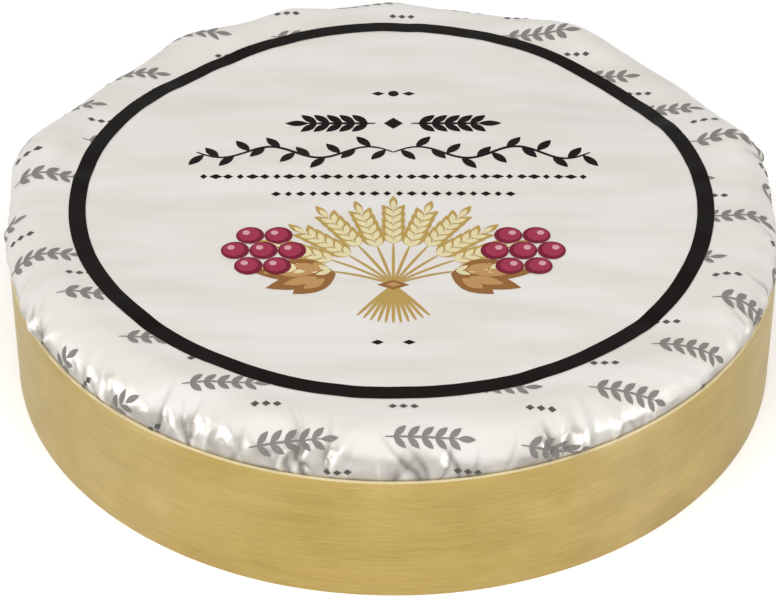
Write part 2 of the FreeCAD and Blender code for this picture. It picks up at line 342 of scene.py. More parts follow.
def paper_lattice(paper):
    """The paper's points in millimetres, by column round the wheel and ring along it."""
    section = Section(paper)
    rings = section.rings()
    degrees = np.linspace(0, 360, COLUMNS + 1)
    azimuth, reach = np.meshgrid(degrees, rings, indexing="ij")
    radius, height, out, up = section.at(reach)
    turn = np.radians(azimuth)
    x, y = radius * np.cos(turn), radius * np.sin(turn)
    flat, bend, creep, wall, foot, middle = section.ends

    # the paper swells where it is gathered, and goes in behind the band
    on_shoulder = smooth_step(reach, flat - 3.0, flat + 3.4)
    on_shoulder *= 1 - smooth_step(reach, bend - 2.4, bend + 0.5)
    swell = bumps(azimuth % 360, GATHERS, 1.8) * on_shoulder

    # near its edge the top dips between the gathers
    near_edge = smooth_step(reach, 33.0, 49.0) * (1 - smooth_step(reach, flat, bend))
    level = bumps(azimuth % 360, LEVELS) * near_edge

    # crumples: sharp pleats and facets, strongest in the bunches
    crumpled = 0.12 + np.clip(bumps(azimuth % 360, BUNCHES), 0, 1.0)
    rim = 1 - smooth_step(reach, bend - 1.0, bend + 0.6)
    creases = pleat_height(azimuth, reach, bend)[0] * rim
    near_rim = smooth_step(reach, flat + 1.5, bend - 2.5) * rim
    dents = 0.55 * (facets(x / 4.6, y / 4.6, 3) - 0.4)
    dents = dents + 0.25 * (facets(x / 2.2, y / 2.2, 5) - 0.4)
    crumples = dents * crumpled * near_rim

    # the flat top: long shallow waves, and faint pulls towards the gathers
    on_top = 1 - smooth_step(reach, flat - 2.0, bend)
    waves = 0.10 * soft_noise(x / 24 + 7, y / 4.6, 21)
    waves = waves + 0.12 * soft_noise(x / 34, y / 9.5, 22)
    pull = 0.10 * soft_noise(azimuth / 4.0, reach / 24, 24) * smooth_step(reach, 26.0, 50.0)
    waves = (waves + pull * seam_free(azimuth)) * on_top

    # underneath, the folds lie over each other like the blades of a fan
    fan = fan_share(azimuth, radius_below(reach, foot, middle), paper.folds)
    spread = smooth_step(radius, UNDER_REACH, 20.0) * smooth_step(reach, wall, foot + 3.0)
    fine = 0.5 + 0.5 * soft_noise(x / 3.0, y / 3.0, 31)
    under = (0.7 * fan + 0.18 * fine * (1 - fan)) * spread

    # behind the lap of the band the paper is pressed in
    lapped = np.exp(-(turn_between(azimuth, LAP_AZIMUTH) / 9.0) ** 4)
    lapped *= smooth_step(reach, bend, creep)
    lapped *= 1 - smooth_step(reach, wall, foot)

    push = swell + creases + crumples + waves - LAP_PRESS * lapped
    push *= 1 - smooth_step(reach, wall - 4.0, wall)
    radius = radius + push * out
    height = height + push * up + level + under
    points = np.stack([radius * np.cos(turn), radius * np.sin(turn), height], axis=-1)
    return degrees, rings, points


def radius_below(reach, foot, middle):
    """The radius underneath, at a distance along the paper."""
    return np.clip(middle - reach, 0, middle - foot)


def fan_share(azimuth, radius, folds):
    """How far across its fold a place underneath is: 0 at the fold's edge and 1 at the next."""
    return (azimuth / 360 * folds + 0.55 * smooth_step(radius, 8, 58)) % 1.0


def foil_share(degrees, rings, paper):
    """How far the foil shows through the lacquer: where the paper turns down and is creased.
    Then the painted shading of the creases: painted highlight on their crests, painted shade
    in their hollows, and a painted shadow along the edge of each fold underneath."""
    bend, creep, wall, foot, middle = Section(paper).ends[1:]
    azimuth, reach = np.meshgrid(degrees, rings, indexing="ij")
    turn = np.radians(azimuth)
    x, y = reach * np.cos(turn), reach * np.sin(turn)
    crumpled = np.clip(bumps(azimuth % 360, BUNCHES), 0, 1.0)
    start = bend - 2.6 - 1.6 * crumpled + 0.9 * soft_noise(x / 4.5, y / 4.5, 51)
    start = start - bumps(azimuth % 360, BARE_STRIPS)
    share = smooth_step(reach, start, start + 2.4)
    share *= 0.74 + 0.26 * soft_noise(x / 2.0, y / 2.0, 52)
    share *= 1 - smooth_step(reach, creep, wall)

    # painted shadow: underneath, a dark line painted along the edge of each fold
    fold = fan_share(azimuth, radius_below(reach, foot, middle), paper.folds)
    edge = np.clip(1 - fold * 16, 0, None) * smooth_step(reach, wall, foot + 3.0)
    crease_shading_marks = pleat_height(azimuth, reach, bend)[1] * (1 - smooth_step(reach, bend, creep + 2.0))
    return share, crease_shading_marks - 0.7 * edge * (reach < middle - UNDER_REACH)


def on_paper(lattice, x, y, lift):
    """Points of the flat sheet laid on the paper's own mesh, a little above it."""
    degrees, rings, points = lattice
    azimuth = np.degrees(np.arctan2(y, x)) % 360
    column = azimuth / 360 * COLUMNS
    ring = np.interp(np.hypot(x, y), rings, np.arange(len(rings)))
    low_column = np.minimum(column.astype(int), COLUMNS - 1)
    low_ring = np.clip(ring.astype(int), 0, len(rings) - 2)
    u = (column - low_column)[:, None]
    v = (ring - low_ring)[:, None]
    corner = points[low_column, low_ring]
    along = points[low_column + 1, low_ring]
    out = points[low_column, low_ring + 1]
    far = points[low_column + 1, low_ring + 1]
    place = (corner * (1 - u) + along * u) * (1 - v) + (out * (1 - u) + far * u) * v
    side = (along - corner) * (1 - v) + (far - out) * v
    ahead = (out - corner) * (1 - u) + (far - along) * u
    normal = np.cross(ahead, side)
    normal /= np.maximum(np.linalg.norm(normal, axis=1, keepdims=True), 1e-12)
    return place + normal * lift


# ---------------------------------------------------------------- mesh helpers

SHARP_ANGLE = math.radians(50)
WELD_REACH = 0.002       # vertices nearer than this are joined


def clear_selection():
    """Goes to object mode with nothing selected."""
    if bpy.context.mode != "OBJECT":
        bpy.ops.object.mode_set(mode="OBJECT")
    bpy.ops.object.select_all(action="DESELECT")


def only(piece):
    """Makes a piece the one that is selected and active."""
    clear_selection()
    piece.select_set(True)
    bpy.context.view_layer.objects.active = piece
    return piece


def apply_modifier(piece, kind, **settings):
    """Adds a modifier, sets it up and applies it."""
    only(piece)
    modifier = piece.modifiers.new(kind.title(), kind)
    for name, value in settings.items():
        setattr(modifier, name, value)
    bpy.ops.object.modifier_apply(modifier=modifier.name)


def grid_piece(name, columns, rows):
    """A flat grid of squares, from -1 to 1 both ways, ready to be wrapped round."""
    clear_selection()
    bpy.ops.mesh.primitive_grid_add(x_subdivisions=columns, y_subdivisions=rows, size=2)
    piece = bpy.context.active_object
    piece.name = piece.data.name = name
    return piece


def grid_places(piece, columns, rows):
    """The column and row of each vertex of a grid piece."""
    flat = np.empty(len(piece.data.vertices) * 3)
    piece.data.vertices.foreach_get("co", flat)
    flat = flat.reshape(-1, 3)
    column = np.rint((flat[:, 0] + 1) / 2 * columns).astype(int)
    row = np.rint((flat[:, 1] + 1) / 2 * rows).astype(int)
    return column, row


def set_points(piece, points):
    """Moves the vertices to points in millimetres."""
    piece.data.vertices.foreach_set("co", np.ascontiguousarray(points * MM).ravel())
    piece.data.update()


def set_map(piece, name, across, up):
    """A UV map in metres, from one value for each vertex."""
    for old in list(piece.data.uv_layers):
        piece.data.uv_layers.remove(old)
    layer = piece.data.uv_layers.new(name=name)
    corners = np.empty(len(piece.data.loops), dtype=int)
    piece.data.loops.foreach_get("vertex_index", corners)
    pairs = np.stack([across[corners], up[corners]], axis=-1) * MM
    layer.data.foreach_set("uv", pairs.ravel())


def set_share(piece, name, values):
    """A number for each vertex, for the material to read."""
    layer = piece.data.attributes.new(name, "FLOAT", "POINT")
    layer.data.foreach_set("value", np.ascontiguousarray(values, dtype=np.float32))


def weld(piece):
    """Closes seams and poles, and turns every face outwards."""
    only(piece)
    bpy.ops.object.mode_set(mode="EDIT")
    bpy.ops.mesh.select_all(action="SELECT")
    bpy.ops.mesh.remove_doubles(threshold=WELD_REACH * MM)
    bpy.ops.mesh.normals_make_consistent(inside=False)
    bpy.ops.object.mode_set(mode="OBJECT")
    bpy.ops.object.shade_smooth()


def finish_piece(piece, material, node=None):
    """Gives a piece its material and its place in the frame."""
    piece.data.materials.clear()
    piece.data.materials.append(material)
    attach(piece, BODY)
    if node:
        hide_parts(node)


# ---------------------------------------------------------------- materials

def new_material(name):
    """A material with an empty tree, its output, and its surface shader."""
    material = bpy.data.materials.new(name)
    material.use_nodes = True
    tree = material.node_tree
    tree.nodes.clear()
    output = tree.nodes.new("ShaderNodeOutputMaterial")
    surface = tree.nodes.new("ShaderNodeBsdfPrincipled")
    tree.links.new(surface.outputs["BSDF"], output.inputs["Surface"])
    return material, tree, surface


def add_node(tree, kind, inputs=None, **settings):
    """A node with its settings. An input that is given a socket is linked to it."""
    node = tree.nodes.new(kind)
    for name, value in settings.items():
        setattr(node, name, value)
    for name, value in (inputs or {}).items():
        if isinstance(value, bpy.types.NodeSocket):
            tree.links.new(value, node.inputs[name])
        else:
            node.inputs[name].default_value = value
    return node


def feed(tree, surface, **inputs):
    """Sets or links the inputs of a surface shader, named with underscores for spaces."""
    for name, value in inputs.items():
        socket = surface.inputs[name.replace("_", " ")]
        if isinstance(value, bpy.types.NodeSocket):
            tree.links.new(value, socket)
        else:
            socket.default_value = value


def stretched_noise(tree, place, long, wide, detail=3.0, seed=0.0):
    """Noise whose waves are as long and as wide as given, in millimetres."""
    mapping = add_node(tree, "ShaderNodeMapping", {
        "Vector": place, "Location": (seed, seed * 1.7, 0.0),
        "Scale": (1 / (long * MM), 1 / (wide * MM), 1.0),
    })
    noise = add_node(tree, "ShaderNodeTexNoise", {
        "Vector": mapping.outputs["Vector"], "Scale": 1.0, "Detail": detail, "Roughness": 0.55,
    })
    return noise.outputs["Fac"]


def coated_paper(paper):
    """Foil-backed wrapping paper under a white lacquer: smooth and softly glossy, and grey and
    metallic where it is creased over the shoulder, because the lacquer is thin there."""
    material, tree, surface = new_material("lacquered_foil_paper")
    sheet = add_node(tree, "ShaderNodeUVMap", uv_map="sheet").outputs["UV"]
    foil = add_node(tree, "ShaderNodeAttribute", attribute_name="foil").outputs["Fac"]
    # painted shade: faint warm streaks along x, painted to stand in for the shade of the top's
    # waves
    cloud = stretched_noise(tree, sheet, 30.0, 6.0, detail=1.0)
    shade = add_node(tree, "ShaderNodeMapRange", {
        "Value": cloud, "From Min": 0.35, "From Max": 0.65,
    })
    white = add_node(tree, "ShaderNodeMix", {
        "Factor": shade.outputs["Result"], "A": tuple(paper.shade), "B": tuple(paper.paper),
    }, data_type="RGBA")
    colour = add_node(tree, "ShaderNodeMix", {
        "Factor": foil, "A": white.outputs["Result"], "B": tuple(paper.foil),
    }, data_type="RGBA")
    painted_crease_shading = add_node(tree, "ShaderNodeAttribute", attribute_name="painted_crease_shading").outputs["Fac"]
    # painted shade darkens the hollows of the creases, and a painted highlight whitens their
    # crests
    for low, high, most, tint in ((0.0, -1.0, 0.75, paper.painted_hollow_shade), (0.1, 0.9, 0.8, paper.paper)):
        share = add_node(tree, "ShaderNodeMapRange", {
            "Value": painted_crease_shading, "From Min": low, "From Max": high, "To Min": 0.0, "To Max": most,
        })
        colour = add_node(tree, "ShaderNodeMix", {
            "Factor": share.outputs["Result"], "A": colour.outputs["Result"], "B": tuple(tint),
        }, data_type="RGBA")
    metal = add_node(tree, "ShaderNodeMath", {0: foil, 1: 0.55}, operation="MULTIPLY")
    cells = []
    for size in (3.4, 1.7):
        cells.append(add_node(tree, "ShaderNodeTexVoronoi", {
            "Vector": sheet, "Scale": 1 / (size * MM), "Randomness": 1.0,
        }, voronoi_dimensions="2D").outputs["Distance"])
    crumple = add_node(tree, "ShaderNodeMath", {0: cells[0], 1: cells[1]}, operation="ADD")
    crumple = add_node(tree, "ShaderNodeMath", {
        0: crumple.outputs[0], 1: foil,
    }, operation="MULTIPLY")
    bump = add_node(tree, "ShaderNodeBump", {
        "Height": crumple.outputs[0], "Strength": 0.7, "Distance": 0.22 * MM,
    })
    feed(
        tree, surface, Base_Color=colour.outputs["Result"], Roughness=0.42, IOR=1.45,
        Metallic=metal.outputs[0], Normal=bump.outputs["Normal"],
    )
    return material


def printed_ink(name, colour):
    """Offset ink on the lacquer: flat colour, hardly glossy. Its IOR is low on purpose, because
    a thin film of dark ink would look grey with the sheen that 1.5 gives."""
    material, tree, surface = new_material(name)
    sheet = add_node(tree, "ShaderNodeUVMap", uv_map="sheet").outputs["UV"]
    speckle = stretched_noise(tree, sheet, 0.35, 0.35, detail=1.0)
    shade = add_node(tree, "ShaderNodeMapRange", {
        "Value": speckle, "From Min": 0.3, "From Max": 0.7, "To Min": 0.93, "To Max": 1.0,
    })
    mixed = add_node(tree, "ShaderNodeMix", {
        "Factor": 1.0, "A": colour, "B": shade.outputs["Result"],
    }, data_type="RGBA", blend_type="MULTIPLY")
    feed(
        tree, surface, Base_Color=mixed.outputs["Result"], Roughness=0.45, IOR=1.2,
        Specular_IOR_Level=0.3,
    )
    return material


def peeled_veneer(band):
    """Rotary-peeled poplar veneer, calendered: straw coloured, with long fine streaks."""
    material, tree, surface = new_material("peeled_poplar_veneer")
    grain = add_node(tree, "ShaderNodeUVMap", uv_map="grain").outputs["UV"]
    streaks = stretched_noise(tree, grain, 22.0, 0.5, detail=3.0)
    bands = stretched_noise(tree, grain, 60.0, 5.0, detail=2.0, seed=3.0)
    flecks = stretched_noise(tree, grain, 3.5, 0.28, detail=2.0, seed=7.0)
    fibres = stretched_noise(tree, grain, 5.0, 0.16, detail=2.0, seed=9.0)
    cloud = stretched_noise(tree, grain, 11.0, 12.0, detail=2.0, seed=5.0)
    mixed = cloud
    for part, weight in ((streaks, 0.55), (bands, 0.7), (flecks, 0.75)):
        mixed = add_node(tree, "ShaderNodeMath", {
            0: part, 1: weight, 2: mixed,
        }, operation="MULTIPLY_ADD").outputs[0]
    share = add_node(tree, "ShaderNodeMapRange", {
        "Value": mixed, "From Min": 1.15, "From Max": 1.85,
    })
    colour = add_node(tree, "ShaderNodeMix", {
        "Factor": share.outputs["Result"], "A": tuple(band.dark), "B": tuple(band.pale),
    }, data_type="RGBA")
    # the top cut edge is bare wood, much paler than the calendered face; its pale colour is
    # also a painted highlight that stands in for the glint along the band's top edge
    height = add_node(tree, "ShaderNodeSeparateXYZ", {"Vector": grain}).outputs["Y"]
    cut = add_node(tree, "ShaderNodeMapRange", {
        "Value": height, "From Min": (BAND_HEIGHT - 0.16) * MM, "From Max": BAND_HEIGHT * MM,
    })
    colour = add_node(tree, "ShaderNodeMix", {
        "Factor": cut.outputs["Result"], "A": colour.outputs["Result"], "B": tuple(band.edge),
    }, data_type="RGBA")
    fine = add_node(tree, "ShaderNodeMapRange", {
        "Value": fibres, "From Min": 0.35, "From Max": 0.65, "To Min": 0.95, "To Max": 1.03,
    })
    shaded = add_node(tree, "ShaderNodeMix", {
        "Factor": 1.0, "A": colour.outputs["Result"], "B": fine.outputs["Result"],
    }, data_type="RGBA", blend_type="MULTIPLY")
    relief = add_node(tree, "ShaderNodeMath", {0: streaks, 1: fibres}, operation="ADD")
    bump = add_node(tree, "ShaderNodeBump", {
        "Height": relief.outputs[0], "Strength": 0.5, "Distance": 0.03 * MM,
    })
    tangent = add_node(tree, "ShaderNodeTangent", direction_type="RADIAL", axis="Z")
    feed(
        tree, surface, Base_Color=shaded.outputs["Result"], Roughness=0.36, IOR=1.42,
        Anisotropic=0.9, Anisotropic_Rotation=0.25, Normal=bump.outputs["Normal"],
        Tangent=tangent.outputs["Tangent"],
    )
    return material


# ---------------------------------------------------------------- flat print shapes

# A print is drawn on the flat sheet in millimetres, from the middle of the top: x to the
# right and y to the back. Each shape is an outline, as an array of corners.

DISC_CORNERS = 20
LEAF_CORNERS = 9         # along each side of a leaf
SPRIG_PAIRS = 5
SPRIG_SPREAD = 42        # degrees between the stem and a leaf
LINE_ENDS = 0.4          # how thick the ends of a drawn line are, against its middle


def disc(x, y, radius):
    """A filled circle."""
    turn = np.linspace(0, 2 * math.pi, DISC_CORNERS, endpoint=False)
    return placed(np.stack([np.cos(turn), np.sin(turn)], -1) * radius, x, y, 0.0)


def leaf(x, y, length, width, angle):
    """A leaf with two pointed ends, growing from (x, y) at an angle in degrees."""
    share = np.linspace(0, 1, LEAF_CORNERS)
    half = width / 2 * np.sin(share * math.pi) ** 0.9
    upper = np.stack([share * length, half], -1)
    lower = np.stack([share * length, -half], -1)[-2:0:-1]
    return placed(np.concatenate([upper, lower]), x, y, angle)


def lozenge(x, y, length, width):
    """A lozenge that lies lengthwise."""
    outline = np.array([(length, 0.0), (0.0, width), (-length, 0.0), (0.0, -width)]) / 2
    return placed(outline, x, y, 0.0)


def stroke(points, width):
    """A line of a pen through the points, thinner towards its ends."""
    points = np.asarray(points, dtype=float)
    ahead = np.gradient(points, axis=0)
    ahead /= np.linalg.norm(ahead, axis=1, keepdims=True)
    side = np.stack([-ahead[:, 1], ahead[:, 0]], -1)
    share = np.linspace(0, 1, len(points))
    swell = np.sin(share * math.pi) ** 0.5
    half = width / 2 * (LINE_ENDS + (1 - LINE_ENDS) * swell)[:, None]
    return np.concatenate([points + side * half, (points - side * half)[::-1]])


def placed(outline, x, y, angle):
    """An outline turned by an angle in degrees and moved to a place."""
    turn = math.radians(angle)
    cosine, sine = math.cos(turn), math.sin(turn)
    rows = outline @ np.array([(cosine, sine), (-sine, cosine)])
    return rows + (x, y)


def arc_points(x, y, angle, length, bend, count=12):
    """Points from (x, y) along a line that starts at an angle and bends by some degrees."""
    share = np.linspace(0, 1, count)
    heading = np.radians(angle + bend * share)
    step = length / (count - 1)
    across = x + np.concatenate([[0], np.cumsum(np.cos(heading[:-1]) * step)])
    up = y + np.concatenate([[0], np.cumsum(np.sin(heading[:-1]) * step)])
    return np.stack([across, up], -1)


def sprig(x, y, length, leaf_length, leaf_width, line):
    """A laurel sprig that points to the right: a stem with paired leaves and one at its tip."""
    shapes = [stroke(arc_points(x, y, 0.0, length, 0.0, 6), line)]
    for index in range(SPRIG_PAIRS):
        at_x = x + length * ((index + 0.6) / (SPRIG_PAIRS + 0.4))
        for side in (-1, 1):
            shapes.append(leaf(at_x, y, leaf_length, leaf_width, side * SPRIG_SPREAD))
    shapes.append(leaf(x + length * 0.97, y, leaf_length * 1.1, leaf_width, 0.0))
    return shapes


def mirrored(shapes):
    """The shapes and their mirror images across the middle line."""
    return shapes + [(outline * (-1, 1))[::-1] for outline in shapes]


INK_THICKNESS = 0.02
INK_STEP = 0.0015        # from one shape's height to its neighbour's
INK_STEPS = 13           # heights before they start again


def print_piece(name, shapes, material, lattice, lift, cell, bare=0.0):
    """Lays flat outlines on the paper as one thin piece, cut so that it follows the folds.
    The part within a bare radius is left off."""
    piece = flat_piece(name, shapes)
    cut_into_cells(piece, cell)
    if bare:
        for face in piece.data.polygons:
            face.select = math.hypot(face.center.x, face.center.y) < bare * MM
        bpy.ops.object.mode_set(mode="EDIT")
        bpy.ops.mesh.delete(type="FACE")
        bpy.ops.object.mode_set(mode="OBJECT")
    flat = np.empty(len(piece.data.vertices) * 3)
    piece.data.vertices.foreach_get("co", flat)
    flat = flat.reshape(-1, 3) / MM
    set_map(piece, "sheet", flat[:, 0], flat[:, 1])
    set_points(piece, on_paper(lattice, flat[:, 0], flat[:, 1], lift + flat[:, 2:]))
    close_ink(piece)
    finish_piece(piece, material)


def close_ink(piece):
    """Gives a layer of ink its thickness, so that it is a closed film."""
    apply_modifier(piece, "SOLIDIFY", thickness=INK_THICKNESS * MM, offset=-1.0)
    bpy.ops.object.shade_smooth_by_angle(angle=SHARP_ANGLE)


def flat_piece(name, shapes):
    """One mesh that holds every outline as a filled face that looks up. Neighbours lie at
    slightly different heights, so that no two of them fill the same place."""
    clear_selection()
    corners, faces = [], []
    for index, outline in enumerate(shapes):
        x, y = outline[:, 0], outline[:, 1]
        if np.sum(x * np.roll(y, -1) - np.roll(x, -1) * y) < 0:
            outline = outline[::-1]
        rise = (index % INK_STEPS) * INK_STEP
        faces.append(tuple(range(len(corners), len(corners) + len(outline))))
        corners.extend((x * MM, y * MM, rise * MM) for x, y in outline)
    mesh = bpy.data.meshes.new(name)
    mesh.from_pydata(corners, [], faces)
    piece = bpy.data.objects.new(name, mesh)
    bpy.context.collection.objects.link(piece)
    return piece


def cut_into_cells(piece, cell):
    """Bisects a flat piece along a square grid."""
    only(piece)
    low = [min(vertex.co[axis] for vertex in piece.data.vertices) for axis in (0, 1)]
    high = [max(vertex.co[axis] for vertex in piece.data.vertices) for axis in (0, 1)]
    bpy.ops.object.mode_set(mode="EDIT")
    for axis in (0, 1):
        normal = [0.0, 0.0, 0.0]
        normal[axis] = 1.0
        count = int((high[axis] - low[axis]) / (cell * MM))
        for index in range(1, count + 1):
            place = [0.0, 0.0, 0.0]
            place[axis] = low[axis] + index * cell * MM
            bpy.ops.mesh.select_all(action="SELECT")
            bpy.ops.mesh.bisect(plane_co=place, plane_no=normal)
    bpy.ops.mesh.select_all(action="SELECT")
    bpy.ops.mesh.quads_convert_to_tris()
    bpy.ops.mesh.select_all(action="DESELECT")
    bpy.ops.object.mode_set(mode="OBJECT")


# ---------------------------------------------------------------- operators

BAND_GRID = (540, 10)    # steps of the band's mesh along its length and up
BAND_GAP = 0.04          # inside the band's full radius, and between its two ends
EDGE_ROUNDING = 0.09     # of the veneer's cut edges


class CHEESE_OT_paper_wrapper(bpy.types.Operator):
    """Make the gathered paper that holds the cheese"""
    bl_idname = "cheese.paper_wrapper"
    bl_label = "Paper Wrapper"

    def execute(self, context):
        paper = context.scene.cheese_paper
        degrees, rings, points = paper_lattice(paper)
        rows = len(rings) - 1
        piece = grid_piece("paper_wrapper", COLUMNS, rows)
        column, row = grid_places(piece, COLUMNS, rows)
        column = COLUMNS - column
        turn = np.radians(degrees[column])
        set_map(piece, "sheet", rings[row] * np.cos(turn), rings[row] * np.sin(turn))
        # the second share carries the painted highlight and painted shade of the creases, and the
        # painted shadow along the fold edges underneath
        shares = foil_share(degrees, rings, paper)
        for name, share in zip(("foil", "painted_crease_shading"), shares):
            set_share(piece, name, share[column % COLUMNS, row])
        set_points(piece, points[column % COLUMNS, row])
        weld(piece)
        finish_piece(piece, coated_paper(paper), "wrapped_wheel")
        return {"FINISHED"}


class CHEESE_OT_veneer_band(bpy.types.Operator):
    """Make the veneer strip that is bent round the wheel and lapped at the back"""
    bl_idname = "cheese.veneer_band"
    bl_label = "Veneer Band"

    def execute(self, context):
        band = context.scene.cheese_band
        sheet, lap = band.sheet / MM, band.lap / MM
        columns, rows = BAND_GRID
        piece = grid_piece("veneer_band", columns, rows)
        column, row = grid_places(piece, columns, rows)
        lap_turn = math.degrees(lap / BAND_RADIUS)
        along = column / columns * (360 + lap_turn)
        turn = np.radians(LAP_AZIMUTH - lap_turn / 2 + along)
        # the last stretch passes under the first
        under = smooth_step(along, 352 - lap_turn / 2, 360)
        up = row / rows * BAND_HEIGHT
        wander = 0.03 * soft_noise(along / 14, up / 11, 41)
        radius = BAND_RADIUS - BAND_GAP + wander - under * (sheet + BAND_GAP)
        points = np.stack([radius * np.cos(turn), radius * np.sin(turn), up], axis=-1)
        set_map(piece, "grain", np.radians(along) * BAND_RADIUS, up)
        set_points(piece, points)
        apply_modifier(piece, "SOLIDIFY", thickness=band.sheet, offset=-1.0)
        apply_modifier(
            piece, "BEVEL", width=EDGE_ROUNDING * MM, segments=2, limit_method="ANGLE",
            angle_limit=math.radians(60),
        )
        bpy.ops.object.shade_smooth_by_angle(angle=SHARP_ANGLE)
        finish_piece(piece, peeled_veneer(band), "band")
        return {"FINISHED"}


RING_ROWS = 4
RING_SHIFT = -0.3        # the ring is printed a little to the left of the middle
RING_LIFT = 0.12


class CHEESE_OT_printed_ring(bpy.types.Operator):
    """Print the plain dark ring on the top of the paper"""
    bl_idname = "cheese.printed_ring"
    bl_label = "Printed Ring"

    def execute(self, context):
        settings = context.scene.cheese_print
        lattice = paper_lattice(context.scene.cheese_paper)
        piece = grid_piece("printed_ring", COLUMNS, RING_ROWS)
        column, row = grid_places(piece, COLUMNS, RING_ROWS)
        outer, width = settings.ring_radius / MM, settings.ring_width / MM
        turn = -np.radians(column / COLUMNS * 360.0)
        reach = outer - width + width * row / RING_ROWS
        x, y = reach * np.cos(turn) + RING_SHIFT, reach * np.sin(turn)
        set_map(piece, "sheet", x, y)
        set_points(piece, on_paper(lattice, x, y, RING_LIFT))
        weld(piece)
        close_ink(piece)
        ink = printed_ink("black_offset_ink", tuple(settings.ink))
        finish_piece(piece, ink)
        return {"FINISHED"}


# The border print is a staggered pattern. Lengths in millimetres.
BORDER_PITCH = 20.2      # from one sprig to the next in its row
BORDER_DROP = 10.8       # from one row to the next
BORDER_LIMIT = 67.0      # no print lies further along the paper from the middle
UNDER_RING = 0.8         # how far the border's print goes in under the ring
BORDER_LIFT = 0.08
BORDER_CELL = 0.5
LABEL_CELL = 1.3


class CHEESE_OT_border_print(bpy.types.Operator):
    """Print the repeated grey sprigs outside the ring"""
    bl_idname = "cheese.border_print"
    bl_label = "Border Print"

    def execute(self, context):
        settings = context.scene.cheese_print
        lattice = paper_lattice(context.scene.cheese_paper)
        bare = settings.ring_radius / MM - UNDER_RING
        sprigs, marks = [], []
        for row in range(-7, 8):
            y = row * BORDER_DROP + 5.3
            shift = BORDER_PITCH / 2 * (row % 2)
            for column in range(-5, 5):
                x = column * BORDER_PITCH + shift - 1.2
                sprigs += sprig(x, y, 11.0, 2.5, 1.0, 0.35)
                for place in range(3):
                    marks.append(lozenge(x + 1.1 + 1.6 * place, y + 5.7, 1.3, 1.0))
        grey = tuple(settings.grey)
        dark = tuple(settings.dark_grey)
        for name, shapes, colour in (("sprigs", sprigs, grey), ("marks", marks, dark)):
            shown = []
            for outline in shapes:
                reach = np.hypot(outline[:, 0], outline[:, 1])
                if bare < reach.max() < BORDER_LIMIT:
                    shown.append(outline)
            ink = printed_ink("grey_ink_" + name, colour)
            print_piece(
                "border_" + name, shown, ink, lattice, BORDER_LIFT, BORDER_CELL, bare,
            )
        return {"FINISHED"}


class CHEESE_OT_label_print(bpy.types.Operator):
    """Print the dark ornament and the coloured sheaf inside the ring"""
    bl_idname = "cheese.label_print"
    bl_label = "Label Print"

    def execute(self, context):
        settings = context.scene.cheese_print
        lattice = paper_lattice(context.scene.cheese_paper)
        # the shapes of each ink, its colour, and its height above the paper
        inks = {
            "black": (dark_ornament(), tuple(settings.ink), 0.04),
            "straw": (sheaf_stems() + sheaf_grains(1.15), linear("#c2a25c"), 0.04),
            "cream": (sheaf_grains(0.78), linear("#efe3b4"), 0.07),
            "brown": (brown_leaves(1.0), linear("#9c6b3c"), 0.05),
            "tan": (brown_leaves(0.5), linear("#c79a63"), 0.08),
            "wine": (berries(1.0), linear("#7d2238"), 0.10),
            "red": (berries(0.76), linear("#a83a52"), 0.12),
            "rose": (berries(0.26), linear("#e0aab2"), 0.14),
        }
        for name, (shapes, colour, lift) in inks.items():
            ink = printed_ink(name + "_label_ink", colour)
            print_piece("label_" + name, shapes, ink, lattice, lift, LABEL_CELL)
        return {"FINISHED"}


GARLAND_HALF = 32.5      # length of one half of the waved garland
GARLAND_PLACE = 12.4     # how far it lies behind the middle
GARLAND_WAVE = 1.7       # height of its waves, of which each half has two


def garland_line(share):
    """Points of the garland's right half, at shares of its length."""
    across = share * GARLAND_HALF
    up = GARLAND_PLACE + GARLAND_WAVE * np.sin(share * 2 * math.pi * 2.0)
    return np.stack([across, up], -1)


def dark_ornament():
    """Sprigs, a waved garland and two rows of lozenges, about the middle line."""
    half = [lozenge(2.6, 30.0, 2.2, 1.3)]
    half += sprig(3.0, 21.0, 11.5, 3.6, 1.5, 0.6)
    half.append(stroke(garland_line(np.linspace(0, 1, 60)), 0.6))
    for index, (x, y) in enumerate(garland_line((np.arange(13) + 0.5) / 13)):
        side = 1 if index % 2 else -1
        half.append(leaf(x, y, 3.9, 1.6, side * 52))
    for index in range(16):
        half.append(lozenge(1.0 + 2.0 * index, 5.4, 1.2 + 0.5 * (index % 3), 1.3))
    for index in range(10):
        half.append(lozenge(1.0 + 2.0 * index, 0.6, 1.2 + 0.5 * (index % 2), 1.3))
    half.append(lozenge(2.4, -38.4, 2.0, 1.2))
    return mirrored(half) + [lozenge(0.0, 21.0, 3.2, 3.2), disc(0.0, 30.0, 0.9)]


TIE = (0.0, -24.0)       # where the sheaf is bound
EAR_ANGLES = tuple(range(102, 151, 12))
MIDDLE_STEM = 11.0       # length of the middle ear's stalk above the tie
TAIL = 9.5               # length of a stalk below the tie


def ears():
    """The middle line of each ear on one side: its stem's foot, heading and bend."""
    for index, angle in enumerate(EAR_ANGLES):
        yield angle, 10.5 + 1.2 * (index % 2), (angle - 90) * 0.35


def sheaf_stems():
    """The stalks above and below the tie, of the middle ear first and then of each side."""
    side = []
    for angle, length, bend in ears():
        side.append(stroke(arc_points(*TIE, angle, length, bend), 0.5))
        side.append(stroke(arc_points(*TIE, angle + 180 - (angle - 90) * 0.4, TAIL, 0), 0.6))
    upper = stroke(arc_points(*TIE, 90, MIDDLE_STEM, 0), 0.5)
    lower = stroke(arc_points(*TIE, 270, TAIL, 0), 0.6)
    return [upper, lower] + mirrored(side)


